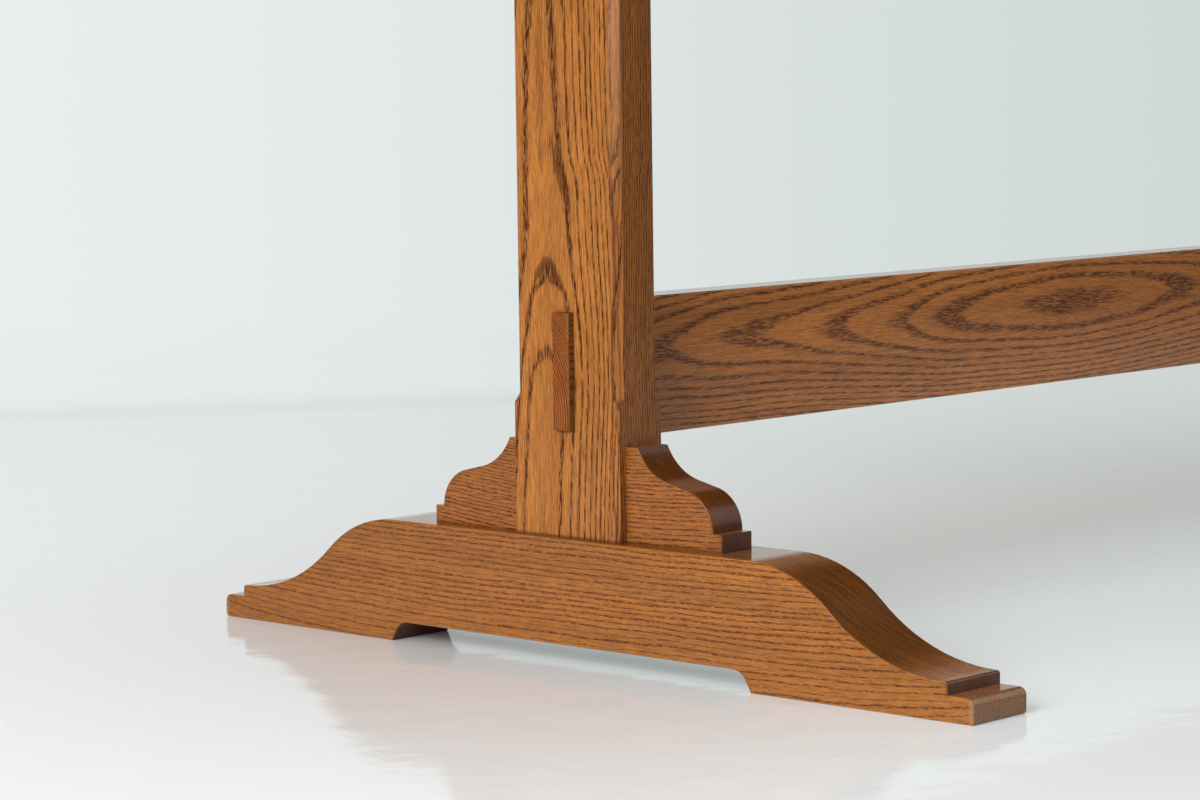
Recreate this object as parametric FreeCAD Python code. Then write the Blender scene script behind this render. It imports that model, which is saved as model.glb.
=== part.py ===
import FreeCAD, Part
import math
import os

from FreeCAD import Vector

# Trestle dining table in stained oak, made the way a joiner makes it.
#
# Two trestles carry a boarded top. Each is a shaped foot, a post with stopped chamfers and a bearer under the
# top, held by mortise and tenon, with a pair of ogee brackets that stiffen the post on its foot. A stretcher
# runs between the posts, and its tenons pass right through them and stand a little proud outside.
#
# Millimetres. +X runs along the table, +Y across it to the back, +Z up. The origin is on the floor, under the
# middle of the top.

# Whole table
TABLE_HEIGHT = 750.0

# Boarded top, which reaches past the middle of each trestle
TOP_LENGTH = 2000.0
TOP_OVERHANG = 280.0
TOP_THICKNESS = 32.0
TOP_EDGE_ROUND = 4.0
BOARD_WIDTH = 150.0
BOARD_COUNT = 6
TONGUE_WIDTH = 20.0
TONGUE_THICKNESS = 8.0
TONGUE_END_MARGIN = 60.0

# Feet
FOOT_LENGTH = 720.0
FOOT_HEIGHT = 90.0
FOOT_THICKNESS = 58.0
FOOT_FLAT = 344.0
TOE_HEIGHT = 17.4
TOE_RUN = 21.0
TOE_ROUND = 5.5
TOE_RISER = 8.8
HEEL_ROUND = 2.5
RELIEF_LENGTH = 347.6
RELIEF_HEIGHT = 14.6
RELIEF_WALL_ANGLE = 60.0
RELIEF_ROUND = 13.0

# Bearers under the top, which have the foot's profile turned over
BEARER_LENGTH = 740.0
BEARER_HEIGHT = 66.0
BEARER_THICKNESS = 56.0
BEARER_FLAT = 360.0
TIP_HEIGHT = 16.0
TIP_RUN = 18.0
TIP_ROUND = 4.0
TIP_RISER = 7.0

# The ogee of feet and bearers is a round and a hollow arc, and this is the round one's share of their radii
OGEE_ROUND_SHARE = 0.42
RISER_ROUND = 2.2

# Posts
POST_WIDTH = 101.0
POST_THICKNESS = 43.0
POST_CHAMFER = 5.6
CHAMFER_EASE = 1.3
CHAMFER_EASE_ANGLE = 22.5
CHAMFER_START = 101.5
CHAMFER_RUNOUT_RADIUS = 2.6
POST_TENON_THICKNESS = 18.0
POST_TENON_SHOULDER = 12.5
FOOT_TENON_DEPTH = 58.0
BEARER_TENON_DEPTH = 44.0

# Stretcher between the posts
STRETCHER_HEIGHT = 99.0
STRETCHER_THICKNESS = 32.0
STRETCHER_ABOVE_FOOT = 68.5
STRETCHER_SHOULDER = 8.0
TENON_PROJECTION = 5.8
TENON_END_BEVEL = 1.0

# Knee brackets between post and foot
BRACKET_LENGTH = 88.0
BRACKET_HEIGHT = 67.3
BRACKET_THICKNESS = 32.0
BRACKET_BASE = 12.7
BRACKET_LIP = 8.1
BRACKET_TOP = 11.7
BRACKET_ROUND_SHARE = 0.52
BRACKET_COVE_RADIUS = 42.0
BRACKET_MID_SLOPE = 13.0

# Dowels that hold each bracket to its foot and its post
DOWEL_DIAMETER = 8.0
DOWEL_LENGTH = 34.0
DOWEL_BEVEL = 1.0
DOWELS_IN_FOOT = 2
DOWEL_FROM_POST = 24.0
DOWEL_PITCH = 36.0
DOWEL_UP_POST = 36.0

# Screws that hold the top, in slots that let it swell and shrink across
SCREW_SHANK = 6.0
SCREW_HEAD = 11.0
SCREW_HEAD_HEIGHT = 3.6
SCREW_HEAD_ROUND = 1.5
SCREW_DRIVE_WIDTH = 1.4
SCREW_DRIVE_DEPTH = 1.6
SCREW_POINT = 6.0
SCREW_COVER = 7.0
SCREW_SEAT = 15.0
SLOT_TRAVEL = 8.0
WASHER_DIAMETER = 16.0
WASHER_THICKNESS = 1.5

# Fits and eased edges
TENON_GAP = 0.15
MORTISE_END_GAP = 2.0
TONGUE_GAP = 0.2
DOWEL_GAP = 0.1
PILOT_GAP = 0.1
SCREW_CLEARANCE = 0.5
WASHER_CLEARANCE = 0.5
ARRIS = 1.2

# Levels and places that follow from them
TOP_UNDERSIDE = TABLE_HEIGHT - TOP_THICKNESS
BEARER_UNDERSIDE = TOP_UNDERSIDE - BEARER_HEIGHT
SCREW_SEAT_LEVEL = TOP_UNDERSIDE - SCREW_SEAT
TOP_WIDTH = BOARD_COUNT * BOARD_WIDTH
BOARD_CENTRES = [BOARD_WIDTH * (i + 0.5) - TOP_WIDTH / 2 for i in range(BOARD_COUNT)]
SCREWED_CENTRES = BOARD_CENTRES[1:-1]
TRESTLE_SPACING = TOP_LENGTH - 2 * TOP_OVERHANG
TRESTLES = {"left": -TRESTLE_SPACING / 2, "right": TRESTLE_SPACING / 2}
SIDES = {"front": -1, "back": 1}

ACROSS = Vector(0, 1, 0)
UP = Vector(0, 0, 1)
SAME_PLACE = 1e-4


class Outline:
    """A run of straight and round stretches in the YZ plane, drawn onward from its start."""

    def __init__(self, y, z):
        self.start = Vector(0, y, z)
        self.here = self.start
        self.edges = []

    def line(self, y, z):
        there = Vector(0, y, z)
        self.edges.append(Part.LineSegment(self.here, there).toShape())
        self.here = there

    def arc(self, centre, y, z):
        """The shorter arc about a centre."""
        there = Vector(0, y, z)
        hub = Vector(0, *centre)
        spoke = (self.here + there) * 0.5 - hub
        halfway = hub + spoke.normalize() * (self.here - hub).Length
        self.edges.append(Part.Arc(self.here, halfway, there).toShape())
        self.here = there

    def face(self):
        self.line(self.start.y, self.start.z)
        return Part.Face(Part.Wire(self.edges))

    def face_with_mirror(self):
        """The face between this outline and its mirror image across the table."""
        edges = self.edges + [edge.mirror(Vector(), ACROSS) for edge in self.edges]
        for end in (self.start, self.here):
            opposite = Vector(0, -end.y, end.z)
            edges.append(Part.LineSegment(opposite, end).toShape())
        return Part.Face(Part.Wire(Part.sortEdges(edges)[0]))


def plank(face, x, thickness):
    """A profile in the YZ plane, thickened evenly to both sides of x."""
    solid = face.extrude(Vector(thickness, 0, 0))
    solid.translate(Vector(x - thickness / 2, 0, 0))
    return solid


def box(low, high):
    """A box between two opposite corners."""
    low, high = Vector(*low), Vector(*high)
    size = high - low
    return Part.makeBox(size.x, size.y, size.z, low)


def stile(x, thickness, width, bottom, top):
    """A box centred across the table, between two levels."""
    return box((x - thickness / 2, -width / 2, bottom), (x + thickness / 2, width / 2, top))


def lies_at(low, high, place):
    """Whether a span between two coordinates is just that place."""
    return abs(low - place) < SAME_PLACE and abs(high - place) < SAME_PLACE


def ease_outline(solid, x, thickness, is_bare):
    """Rounds over the edges of a plank's two broad faces, where the test says that an edge is bare."""
    chosen = []
    for edge in solid.Edges:
        bounds = edge.BoundBox
        for face_x in (x - thickness / 2, x + thickness / 2):
            if lies_at(bounds.XMin, bounds.XMax, face_x) and is_bare(bounds):
                chosen.append(edge)
    return solid.makeFillet(ARRIS, chosen)


def draw_stepped_ogee(outline, half, height, flat, tip_height, tip_run, tip_round, riser):
    """The end of a foot or bearer: up the rounded tip, over its step, and up the ogee to the flat."""
    outline.line(half, tip_height - tip_round)
    outline.arc((half - tip_round, tip_height - tip_round), half - tip_round, tip_height)
    step = half - tip_run
    low = tip_height + riser
    outline.line(step, tip_height)
    outline.line(step, low - RISER_ROUND)
    ogee_end = step - RISER_ROUND
    outline.arc((ogee_end, low - RISER_ROUND), ogee_end, low)
    ogee_start = flat / 2
    turn = 2 * math.atan((height - low) / (ogee_end - ogee_start))
    radii = (ogee_end - ogee_start) / math.sin(turn)
    round_radius = radii * OGEE_ROUND_SHARE
    hollow_radius = radii - round_radius
    outline.arc(
        (ogee_end, low + hollow_radius),
        ogee_start + round_radius * math.sin(turn),
        height - round_radius * (1 - math.cos(turn)),
    )
    outline.arc((ogee_start, height - round_radius), ogee_start, height)


def dowel_holes(trestle_x, side):
    """Where a bracket's dowels sit: the middle of each, and the way that it points."""
    post_side = side * POST_WIDTH / 2
    places = [(Vector(trestle_x, post_side, FOOT_HEIGHT + DOWEL_UP_POST), ACROSS)]
    for step in range(DOWELS_IN_FOOT):
        reach = side * (DOWEL_FROM_POST + step * DOWEL_PITCH)
        places.append((Vector(trestle_x, post_side + reach, FOOT_HEIGHT), UP))
    return places


def dowel_rod(place, direction, gap):
    """A dowel with bevelled ends, or with a gap, the hole that it fills."""
    length = DOWEL_LENGTH + 2 * gap
    start = place - direction * (length / 2)
    rod = Part.makeCylinder(DOWEL_DIAMETER / 2 + gap, length, start, direction)
    rims = [edge for edge in rod.Edges if len(edge.Vertexes) == 1]
    return rod.makeChamfer(DOWEL_BEVEL, rims)


def bracket_holes(trestle_x):
    """The dowel holes of both brackets on one trestle."""
    return [
        dowel_rod(place, direction, DOWEL_GAP)
        for side in SIDES.values()
        for place, direction in dowel_holes(trestle_x, side)
    ]


def post_tenon(x, bottom, top, gap):
    """A tenon on the end of a post, or with a gap, its mortise."""
    return stile(
        x,
        POST_TENON_THICKNESS + 2 * gap,
        POST_WIDTH - 2 * POST_TENON_SHOULDER + 2 * gap,
        bottom,
        top,
    )


def foot(x):
    """Level on top, with an ogee down to a stepped toe at each end, and cut away below between two pads."""
    half = FOOT_LENGTH / 2
    wall = math.radians(RELIEF_WALL_ANGLE)
    wall_top = RELIEF_LENGTH / 2 - RELIEF_HEIGHT / math.tan(wall)
    tangent = RELIEF_ROUND * math.tan(wall / 2)
    ceiling_end = wall_top - tangent
    outline = Outline(ceiling_end, RELIEF_HEIGHT)
    outline.arc(
        (ceiling_end, RELIEF_HEIGHT - RELIEF_ROUND),
        wall_top + tangent * math.cos(wall),
        RELIEF_HEIGHT - tangent * math.sin(wall),
    )
    outline.line(RELIEF_LENGTH / 2, 0)
    outline.line(half - HEEL_ROUND, 0)
    outline.arc((half - HEEL_ROUND, HEEL_ROUND), half, HEEL_ROUND)
    draw_stepped_ogee(outline, half, FOOT_HEIGHT, FOOT_FLAT, TOE_HEIGHT, TOE_RUN, TOE_ROUND, TOE_RISER)
    solid = plank(outline.face_with_mirror(), x, FOOT_THICKNESS)
    solid = ease_outline(solid, x, FOOT_THICKNESS, lambda bounds: True)
    mortise_floor = FOOT_HEIGHT - FOOT_TENON_DEPTH - MORTISE_END_GAP
    mortise = post_tenon(x, mortise_floor, FOOT_HEIGHT, TENON_GAP)
    return solid.cut([mortise] + bracket_holes(x))


def screw_slot(x, y, width, bottom, top):
    """A slot across the table for a screw or its washer to shift in."""
    half_travel = Vector(0, SLOT_TRAVEL / 2, 0)
    middle = Vector(x, y, bottom)
    ends = [
        Part.makeCylinder(width / 2, top - bottom, middle + shift)
        for shift in (half_travel, -half_travel)
    ]
    web = box((x - width / 2, y - SLOT_TRAVEL / 2, bottom), (x + width / 2, y + SLOT_TRAVEL / 2, top))
    return web.fuse(ends)


def bearer(x):
    """The foot's profile turned over, with a mortise for the post and slots for the top's screws."""
    half = BEARER_LENGTH / 2
    outline = Outline(half, 0)
    draw_stepped_ogee(outline, half, BEARER_HEIGHT, BEARER_FLAT, TIP_HEIGHT, TIP_RUN, TIP_ROUND, TIP_RISER)
    face = outline.face_with_mirror().mirror(Vector(), UP)
    face.translate(UP * TOP_UNDERSIDE)
    solid = plank(face, x, BEARER_THICKNESS)
    solid = ease_outline(
        solid, x, BEARER_THICKNESS, lambda bounds: bounds.ZMin < TOP_UNDERSIDE - SAME_PLACE
    )
    mortise_end = BEARER_UNDERSIDE + BEARER_TENON_DEPTH + MORTISE_END_GAP
    cuts = [post_tenon(x, BEARER_UNDERSIDE, mortise_end, TENON_GAP)]
    for y in SCREWED_CENTRES:
        shank_width = SCREW_SHANK + 2 * SCREW_CLEARANCE
        washer_width = WASHER_DIAMETER + 2 * WASHER_CLEARANCE
        cuts.append(screw_slot(x, y, shank_width, SCREW_SEAT_LEVEL, TOP_UNDERSIDE))
        cuts.append(screw_slot(x, y, washer_width, BEARER_UNDERSIDE, SCREW_SEAT_LEVEL))
    return solid.cut(cuts)


def stretcher_tenon(low_x, high_x, gap):
    """The stretcher's tenon between two places, or with a gap, the mortise that it passes through."""
    half_thickness = STRETCHER_THICKNESS / 2 - STRETCHER_SHOULDER + gap
    underside = FOOT_HEIGHT + STRETCHER_ABOVE_FOOT
    return box(
        (low_x, -half_thickness, underside + STRETCHER_SHOULDER - gap),
        (high_x, half_thickness, underside + STRETCHER_HEIGHT - STRETCHER_SHOULDER + gap),
    )


def stopped_chamfer(x, across, along):
    """The cutter for one corner of a post, eased beside both faces and round at its two ends."""
    corner = Vector(x + along * POST_THICKNESS / 2, across * POST_WIDTH / 2, FOOT_HEIGHT + CHAMFER_START)
    inward = Vector(-along, 0, 0)
    outward = Vector(0, across, 0)
    ease = math.radians(CHAMFER_EASE_ANGLE)
    sink = CHAMFER_EASE * math.sin(ease)
    clear = CHAMFER_EASE
    section = [
        (-clear, sink - POST_CHAMFER - (clear + sink) / math.tan(ease)),
        (sink, sink - POST_CHAMFER),
        (POST_CHAMFER - sink, -sink),
        (POST_CHAMFER - sink + (CHAMFER_RUNOUT_RADIUS + sink) / math.tan(ease), CHAMFER_RUNOUT_RADIUS),
        (-clear, CHAMFER_RUNOUT_RADIUS),
    ]
    points = [corner + inward * depth + outward * reach for depth, reach in section]
    bit = Part.Face(Part.makePolygon(points + points[:1]))
    travel = UP * (BEARER_UNDERSIDE - FOOT_HEIGHT - 2 * CHAMFER_START)
    low_end = bit.revolve(points[-1], inward)
    high_end = low_end.translated(travel)
    return bit.extrude(travel).fuse([low_end, high_end])


def post(x):
    """A plank on end, chamfered between its joints, with a tenon at each end and the stretcher's mortise."""
    solid = stile(x, POST_THICKNESS, POST_WIDTH, FOOT_HEIGHT, BEARER_UNDERSIDE)
    solid = solid.cut([stopped_chamfer(x, across, along) for across in (-1, 1) for along in (-1, 1)])
    solid = solid.fuse([
        post_tenon(x, FOOT_HEIGHT - FOOT_TENON_DEPTH, FOOT_HEIGHT, 0),
        post_tenon(x, BEARER_UNDERSIDE, BEARER_UNDERSIDE + BEARER_TENON_DEPTH, 0),
    ])
    mortise = stretcher_tenon(x - POST_THICKNESS / 2, x + POST_THICKNESS / 2, TENON_GAP)
    return solid.cut([mortise] + bracket_holes(x)).removeSplitter()


def stretcher():
    """A board on edge between the posts, with a long tenon through each."""
    shoulder = TRESTLE_SPACING / 2 - POST_THICKNESS / 2
    end = TRESTLE_SPACING / 2 + POST_THICKNESS / 2 + TENON_PROJECTION
    underside = FOOT_HEIGHT + STRETCHER_ABOVE_FOOT
    half_thickness = STRETCHER_THICKNESS / 2
    board = box(
        (-shoulder, -half_thickness, underside), (shoulder, half_thickness, underside + STRETCHER_HEIGHT)
    )
    long_edges = [edge for edge in board.Edges if edge.BoundBox.XLength > shoulder]
    board = board.makeFillet(ARRIS, long_edges)
    tenon = stretcher_tenon(-end, end, 0)
    rims = [edge for edge in tenon.Edges if edge.BoundBox.XLength < SAME_PLACE]
    return board.fuse(tenon.makeChamfer(TENON_END_BEVEL, rims)).removeSplitter()


def bracket(x, side):
    """A cove above a round, on a square-edged base: the knee between a post's side and its foot."""
    post_side = POST_WIDTH / 2
    end = post_side + BRACKET_LENGTH
    top = FOOT_HEIGHT + BRACKET_HEIGHT
    base_top = FOOT_HEIGHT + BRACKET_BASE
    cove_start = Vector(0, post_side + BRACKET_TOP, top)
    round_end = Vector(0, end - BRACKET_LIP, base_top)
    slope = math.radians(BRACKET_MID_SLOPE)
    fall = Vector(0, math.cos(slope), -math.sin(slope))
    rise = Vector(0, math.sin(slope), math.cos(slope))
    round_radius = BRACKET_ROUND_SHARE * (top - base_top)
    round_hub = round_end - ACROSS * round_radius
    round_start = round_hub + rise * round_radius
    above = (cove_start - round_start).dot(rise)
    run = (round_start - cove_start).dot(fall)
    cove_radius = min(BRACKET_COVE_RADIUS, (run ** 2 + above ** 2) / (2 * above))
    cove_run = math.sqrt(2 * cove_radius * above - above ** 2)
    cove_end = cove_start - rise * above + fall * cove_run
    cove_hub = cove_end + rise * cove_radius
    outline = Outline(post_side, FOOT_HEIGHT)
    outline.line(end, FOOT_HEIGHT)
    outline.line(end, base_top)
    outline.line(round_end.y, base_top)
    outline.arc((round_hub.y, round_hub.z), round_start.y, round_start.z)
    outline.line(cove_end.y, cove_end.z)
    outline.arc((cove_hub.y, cove_hub.z), cove_start.y, cove_start.z)
    outline.line(post_side, top)
    solid = plank(outline.face(), x, BRACKET_THICKNESS)

    def is_bare(bounds):
        return bounds.YMax > post_side + SAME_PLACE and bounds.ZMax > FOOT_HEIGHT + SAME_PLACE

    solid = ease_outline(solid, x, BRACKET_THICKNESS, is_bare)
    if side < 0:
        solid = solid.mirror(Vector(), ACROSS)
    holes = [dowel_rod(place, direction, DOWEL_GAP) for place, direction in dowel_holes(x, side)]
    return solid.cut(holes)


def bracket_dowels(x):
    """All the dowels of one trestle's brackets, as separate solids."""
    return Part.makeCompound([
        dowel_rod(place, direction, 0) for side in SIDES.values() for place, direction in dowel_holes(x, side)
    ])


def screw_tip_level():
    return TABLE_HEIGHT - SCREW_COVER


def top_screw(x, y):
    """A round-headed wood screw, driven up through its washer and the bearer into a board."""
    shank = SCREW_SHANK / 2
    head = SCREW_HEAD / 2
    head_top = SCREW_SEAT_LEVEL - WASHER_THICKNESS
    head_bottom = head_top - SCREW_HEAD_HEIGHT
    tip = screw_tip_level()
    outline = Outline(0, head_bottom)
    round_hub = (head - SCREW_HEAD_ROUND, head_bottom + SCREW_HEAD_ROUND)
    outline.line(head - SCREW_HEAD_ROUND, head_bottom)
    outline.arc(round_hub, head, head_bottom + SCREW_HEAD_ROUND)
    outline.line(head, head_top)
    outline.line(shank, head_top)
    outline.line(shank, tip - SCREW_POINT)
    outline.line(0, tip)
    solid = outline.face().revolve(Vector(), UP)
    drive = box(
        (-head, -SCREW_DRIVE_WIDTH / 2, head_bottom),
        (head, SCREW_DRIVE_WIDTH / 2, head_bottom + SCREW_DRIVE_DEPTH),
    )
    solid = solid.cut(drive)
    solid.translate(Vector(x, y, 0))
    return solid


def top_washer(x, y):
    bottom = Vector(x, y, SCREW_SEAT_LEVEL - WASHER_THICKNESS)
    disc = Part.makeCylinder(WASHER_DIAMETER / 2, WASHER_THICKNESS, bottom)
    return disc.cut(Part.makeCylinder(SCREW_SHANK / 2 + SCREW_CLEARANCE, WASHER_THICKNESS, bottom))


def tongue(seam_y, gap):
    """The loose tongue across one seam of the top, stopped short of the ends, or with a gap, its grooves."""
    length = TOP_LENGTH - 2 * TONGUE_END_MARGIN + 2 * gap
    middle = (TOP_UNDERSIDE + TABLE_HEIGHT) / 2
    half = Vector(length / 2, TONGUE_WIDTH / 2 + gap, TONGUE_THICKNESS / 2 + gap)
    centre = Vector(0, seam_y, middle)
    return box(centre - half, centre + half)


def top_board(y):
    """One board of the top: round along its bare edges, grooved for its tongues and bored for its screws."""
    half_length = TOP_LENGTH / 2
    half_width = TOP_WIDTH / 2
    solid = box(
        (-half_length, y - BOARD_WIDTH / 2, TOP_UNDERSIDE), (half_length, y + BOARD_WIDTH / 2, TABLE_HEIGHT)
    )
    rims = []
    for edge in solid.Edges:
        bounds = edge.BoundBox
        at_end = lies_at(abs(bounds.XMin), abs(bounds.XMax), half_length)
        at_side = lies_at(abs(bounds.YMin), abs(bounds.YMax), half_width)
        upright = bounds.ZLength > SAME_PLACE
        if at_side or (at_end and not upright):
            rims.append(edge)
    solid = solid.makeFillet(TOP_EDGE_ROUND, rims)
    edges = (y - BOARD_WIDTH / 2, y + BOARD_WIDTH / 2)
    cuts = [tongue(seam, TONGUE_GAP) for seam in edges if abs(seam) < half_width - SAME_PLACE]
    if y in SCREWED_CENTRES:
        depth = screw_tip_level() - TOP_UNDERSIDE
        for x in TRESTLES.values():
            cuts.append(Part.makeCylinder(SCREW_SHANK / 2 + PILOT_GAP, depth, Vector(x, y, TOP_UNDERSIDE)))
    return solid.cut(cuts)


def table():
    """Every piece of the table, by name."""
    pieces = {"stretcher": stretcher()}
    for end, x in TRESTLES.items():
        pieces[end + "_foot"] = foot(x)
        pieces[end + "_post"] = post(x)
        pieces[end + "_bearer"] = bearer(x)
        for name, side in SIDES.items():
            pieces[end + "_" + name + "_bracket"] = bracket(x, side)
        pieces[end + "_bracket_dowels"] = bracket_dowels(x)
        pieces[end + "_top_screws"] = Part.makeCompound([top_screw(x, y) for y in SCREWED_CENTRES])
        pieces[end + "_top_washers"] = Part.makeCompound([top_washer(x, y) for y in SCREWED_CENTRES])
    for number, y in enumerate(BOARD_CENTRES, start=1):
        pieces["top_board_" + str(number)] = top_board(y)
    for number, y in enumerate(BOARD_CENTRES[1:], start=1):
        pieces["top_tongue_" + str(number)] = tongue(y - BOARD_WIDTH / 2, 0)
    return pieces


os.makedirs("parts", exist_ok=True)
for piece_name, shape in table().items():
    shape.exportStep("parts/" + piece_name + ".step")
    state = "valid" if shape.isValid() else "NOT VALID"
    print(piece_name, len(shape.Solids), "solid", state, round(shape.Volume))
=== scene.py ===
# %% [markdown]
# # A trestle dining table in stained oak
# The table comes from CAD as twenty-eight named pieces at their real size. Every shape is already right, so
# Blender's work here is the finish: oak that was stained warm brown and lacquered to a satin sheen. We load
# the pieces first.

# %% Load the table
import math

import bpy
from mathutils import Matrix, Vector


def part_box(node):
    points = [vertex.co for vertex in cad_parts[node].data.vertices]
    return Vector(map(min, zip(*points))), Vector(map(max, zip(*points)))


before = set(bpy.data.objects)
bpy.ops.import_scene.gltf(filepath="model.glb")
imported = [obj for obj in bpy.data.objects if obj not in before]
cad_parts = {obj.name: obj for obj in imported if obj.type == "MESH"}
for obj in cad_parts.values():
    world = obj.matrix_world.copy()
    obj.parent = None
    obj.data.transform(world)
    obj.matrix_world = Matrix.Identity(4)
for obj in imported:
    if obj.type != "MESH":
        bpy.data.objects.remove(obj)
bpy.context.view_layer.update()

# %% [markdown]
# ## The camera
# The picture was taken from low down, close to the near end, with a long lens that keeps the lines of the
# foot almost parallel. A camera could be aimed with a Track To constraint, but this one is also turned a
# little about its own line of sight. So we write down where it stands and its three angles, and build the
# rotation from the three directions that a camera has: right, up and back.

# %% Turn a camera
CAMERA_PLACE = Vector((-2.5037, -1.6723, 0.4219))
CAMERA_YAW = math.radians(42.94)
CAMERA_PITCH = math.radians(5.51)
CAMERA_ROLL = math.radians(-0.75)


def camera_turn(yaw, pitch, roll):
    """Gives the rotation of a camera that looks along yaw, tipped down by pitch and then rolled."""
    level = math.cos(pitch)
    forward = Vector((math.cos(yaw) * level, math.sin(yaw) * level, -math.sin(pitch)))
    level_right = Vector((math.sin(yaw), -math.cos(yaw), 0.0))
    level_up = level_right.cross(forward)
    right = math.cos(roll) * level_right + math.sin(roll) * level_up
    up = math.cos(roll) * level_up - math.sin(roll) * level_right
    return Matrix((right, up, -forward)).transposed().to_quaternion()


camera_rotation = camera_turn(CAMERA_YAW, CAMERA_PITCH, CAMERA_ROLL)
print("camera turned to", camera_rotation[:])

# %% [markdown]
# The lens is long, about 104 mm on a sensor 36 mm wide. The Standard view transform shows colours as we mix
# them, so a brown in a material is the same brown in the picture.

# %% Place the camera
LENS_LENGTH = 104.22
SENSOR_WIDTH = 36.0
SIGHT_END = 60.0


def put(data, place, rotation):
    """Puts a camera or a lamp into the scene."""
    thing = bpy.data.objects.new(data.name, data)
    thing.location = place
    thing.rotation_mode = "QUATERNION"
    thing.rotation_quaternion = rotation
    bpy.context.collection.objects.link(thing)
    return thing


camera_data = bpy.data.cameras.new("long_lens")
camera_data.sensor_width = SENSOR_WIDTH
camera_data.lens = LENS_LENGTH
camera_data.clip_end = SIGHT_END
camera = put(camera_data, CAMERA_PLACE, camera_rotation)
bpy.context.scene.camera = camera
bpy.context.scene.view_settings.view_transform = "Standard"
print("camera at", camera.location[:], "lens", camera_data.lens)

# %% [markdown]
# ## Helpers for node trees
# A material is a tree of small nodes. By hand we would drag links from dot to dot. In a script a few short
# helpers do the same: one fills a socket with a number or a link, one adds a node, and the others add Math
# nodes.

# %% Add nodes
def fill(tree, socket, value):
    """Links a socket to another one, or writes a plain value on it."""
    if isinstance(value, bpy.types.NodeSocket):
        tree.links.new(value, socket)
    else:
        socket.default_value = value


def add(tree, kind, inputs=None, **options):
    """Adds one shader node, sets its options and fills its inputs by name or by number."""
    node = tree.nodes.new("ShaderNode" + kind)
    for option, value in options.items():
        setattr(node, option, value)
    for name, value in (inputs or {}).items():
        fill(tree, node.inputs[name], value)
    return node


def work(tree, operation, *values):
    """Adds a Math node and gives back its result."""
    node = add(tree, "Math", operation=operation)
    for socket, value in zip(node.inputs, values):
        fill(tree, socket, value)
    return node.outputs["Value"]


def times(tree, product, *factors):
    """Multiplies two or more values."""
    for factor in factors:
        product = work(tree, "MULTIPLY", product, factor)
    return product


def vector_work(tree, operation, first, second):
    """Adds a Vector Math node for two vectors and gives back its vector."""
    return add(tree, "VectorMath", {0: first, 1: second}, operation=operation).outputs["Vector"]


print("helpers: fill, add, work, times, vector_work")

# %% [markdown]
# Most masks begin with a place: how far it lies along an axis, or its x, y and z. A smooth ramp then turns
# that distance into a mask, and the mask mixes two colours. A noise gives chance its part. Its spots get a
# size along each axis, because the marks in wood are long in one direction, and COARSE or FINE says how much
# detail they have.

# %% Measure, ramp and mix
RISE = (0.0, 1.0)
FALL = (1.0, 0.0)
COARSE = 2.0
FINE = 3.0


def along(tree, place, axis):
    """Gives how far a place lies along an axis."""
    return add(tree, "VectorMath", {0: place, 1: axis}, operation="DOT_PRODUCT").outputs["Value"]


def parts(tree, place):
    """Splits a place into its x, y and z."""
    return add(tree, "SeparateXYZ", {"Vector": place}).outputs


def ramp(tree, value, span, heights=RISE):
    """Turns a value within a span into a smooth step from the first height to the second."""
    inputs = {"Value": value, "From Min": span[0], "From Max": span[1],
              "To Min": heights[0], "To Max": heights[1]}
    return add(tree, "MapRange", inputs, interpolation_type="SMOOTHSTEP").outputs["Result"]


def noise(tree, place, size, detail, roughness=0.5):
    """Adds a noise whose spots have a size along x, y and z."""
    stretched = add(tree, "Mapping", {"Vector": place, "Scale": tuple(1.0 / side for side in size)})
    inputs = {"Vector": stretched.outputs["Vector"], "Scale": 1.0, "Detail": detail, "Roughness": roughness}
    return add(tree, "TexNoise", inputs).outputs


def even_noise(tree, place, scale, detail):
    """Adds a noise whose spots are as long as they are wide."""
    return add(tree, "TexNoise", {"Vector": place, "Scale": scale, "Detail": detail}).outputs["Fac"]


def mix_colour(tree, factor, first, second, blend="MIX"):
    """Mixes two colours and gives back the result."""
    node = add(tree, "Mix", data_type="RGBA", blend_type=blend)
    colours = [socket for socket in node.inputs if socket.type == "RGBA"]
    fill(tree, node.inputs["Factor"], factor)
    fill(tree, colours[0], first)
    fill(tree, colours[1], second)
    return next(socket for socket in node.outputs if socket.type == "RGBA")


print("helpers: along, parts, ramp, noise, even_noise, mix_colour")

# %% [markdown]
# An effect that several pieces share is a node group: a small tree with named sockets, built once and
# placed in each material with its own values. If the effect is changed in the group, it changes on every
# piece.

# %% Start and place node groups
def start_group(name, inputs, outputs):
    """Makes an empty node group with named sockets, and gives its tree, its entry and its exit."""
    tree = bpy.data.node_groups.new(name, "ShaderNodeTree")
    for label, kind in inputs.items():
        tree.interface.new_socket(label, in_out="INPUT", socket_type="NodeSocket" + kind)
    for label, kind in outputs.items():
        tree.interface.new_socket(label, in_out="OUTPUT", socket_type="NodeSocket" + kind)
    entry = tree.nodes.new("NodeGroupInput").outputs
    leave = tree.nodes.new("NodeGroupOutput").inputs
    return tree, entry, leave


def place_group(tree, group, values):
    """Places a group in a tree, fills the inputs that values names, and gives back its outputs."""
    node = tree.nodes.new("ShaderNodeGroup")
    node.node_tree = group
    for socket in node.inputs:
        if socket.name in values:
            fill(tree, socket, values[socket.name])
    return node.outputs


def new_finish(name):
    """Makes a new material, and gives it with its tree and its shader."""
    material = bpy.data.materials.new(name)
    material.use_nodes = True
    return material, material.node_tree, material.node_tree.nodes["Principled BSDF"]


print("helpers: start_group, place_group, new_finish")

# %% [markdown]
# ## Floor
# The table stands on a pale painted floor with a soft shine. A wall would hide the table from behind, so
# the floor is one wide disc, and far from the table it turns clear and shows the backdrop of the world.
# Every side of the table can then be looked at.

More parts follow.
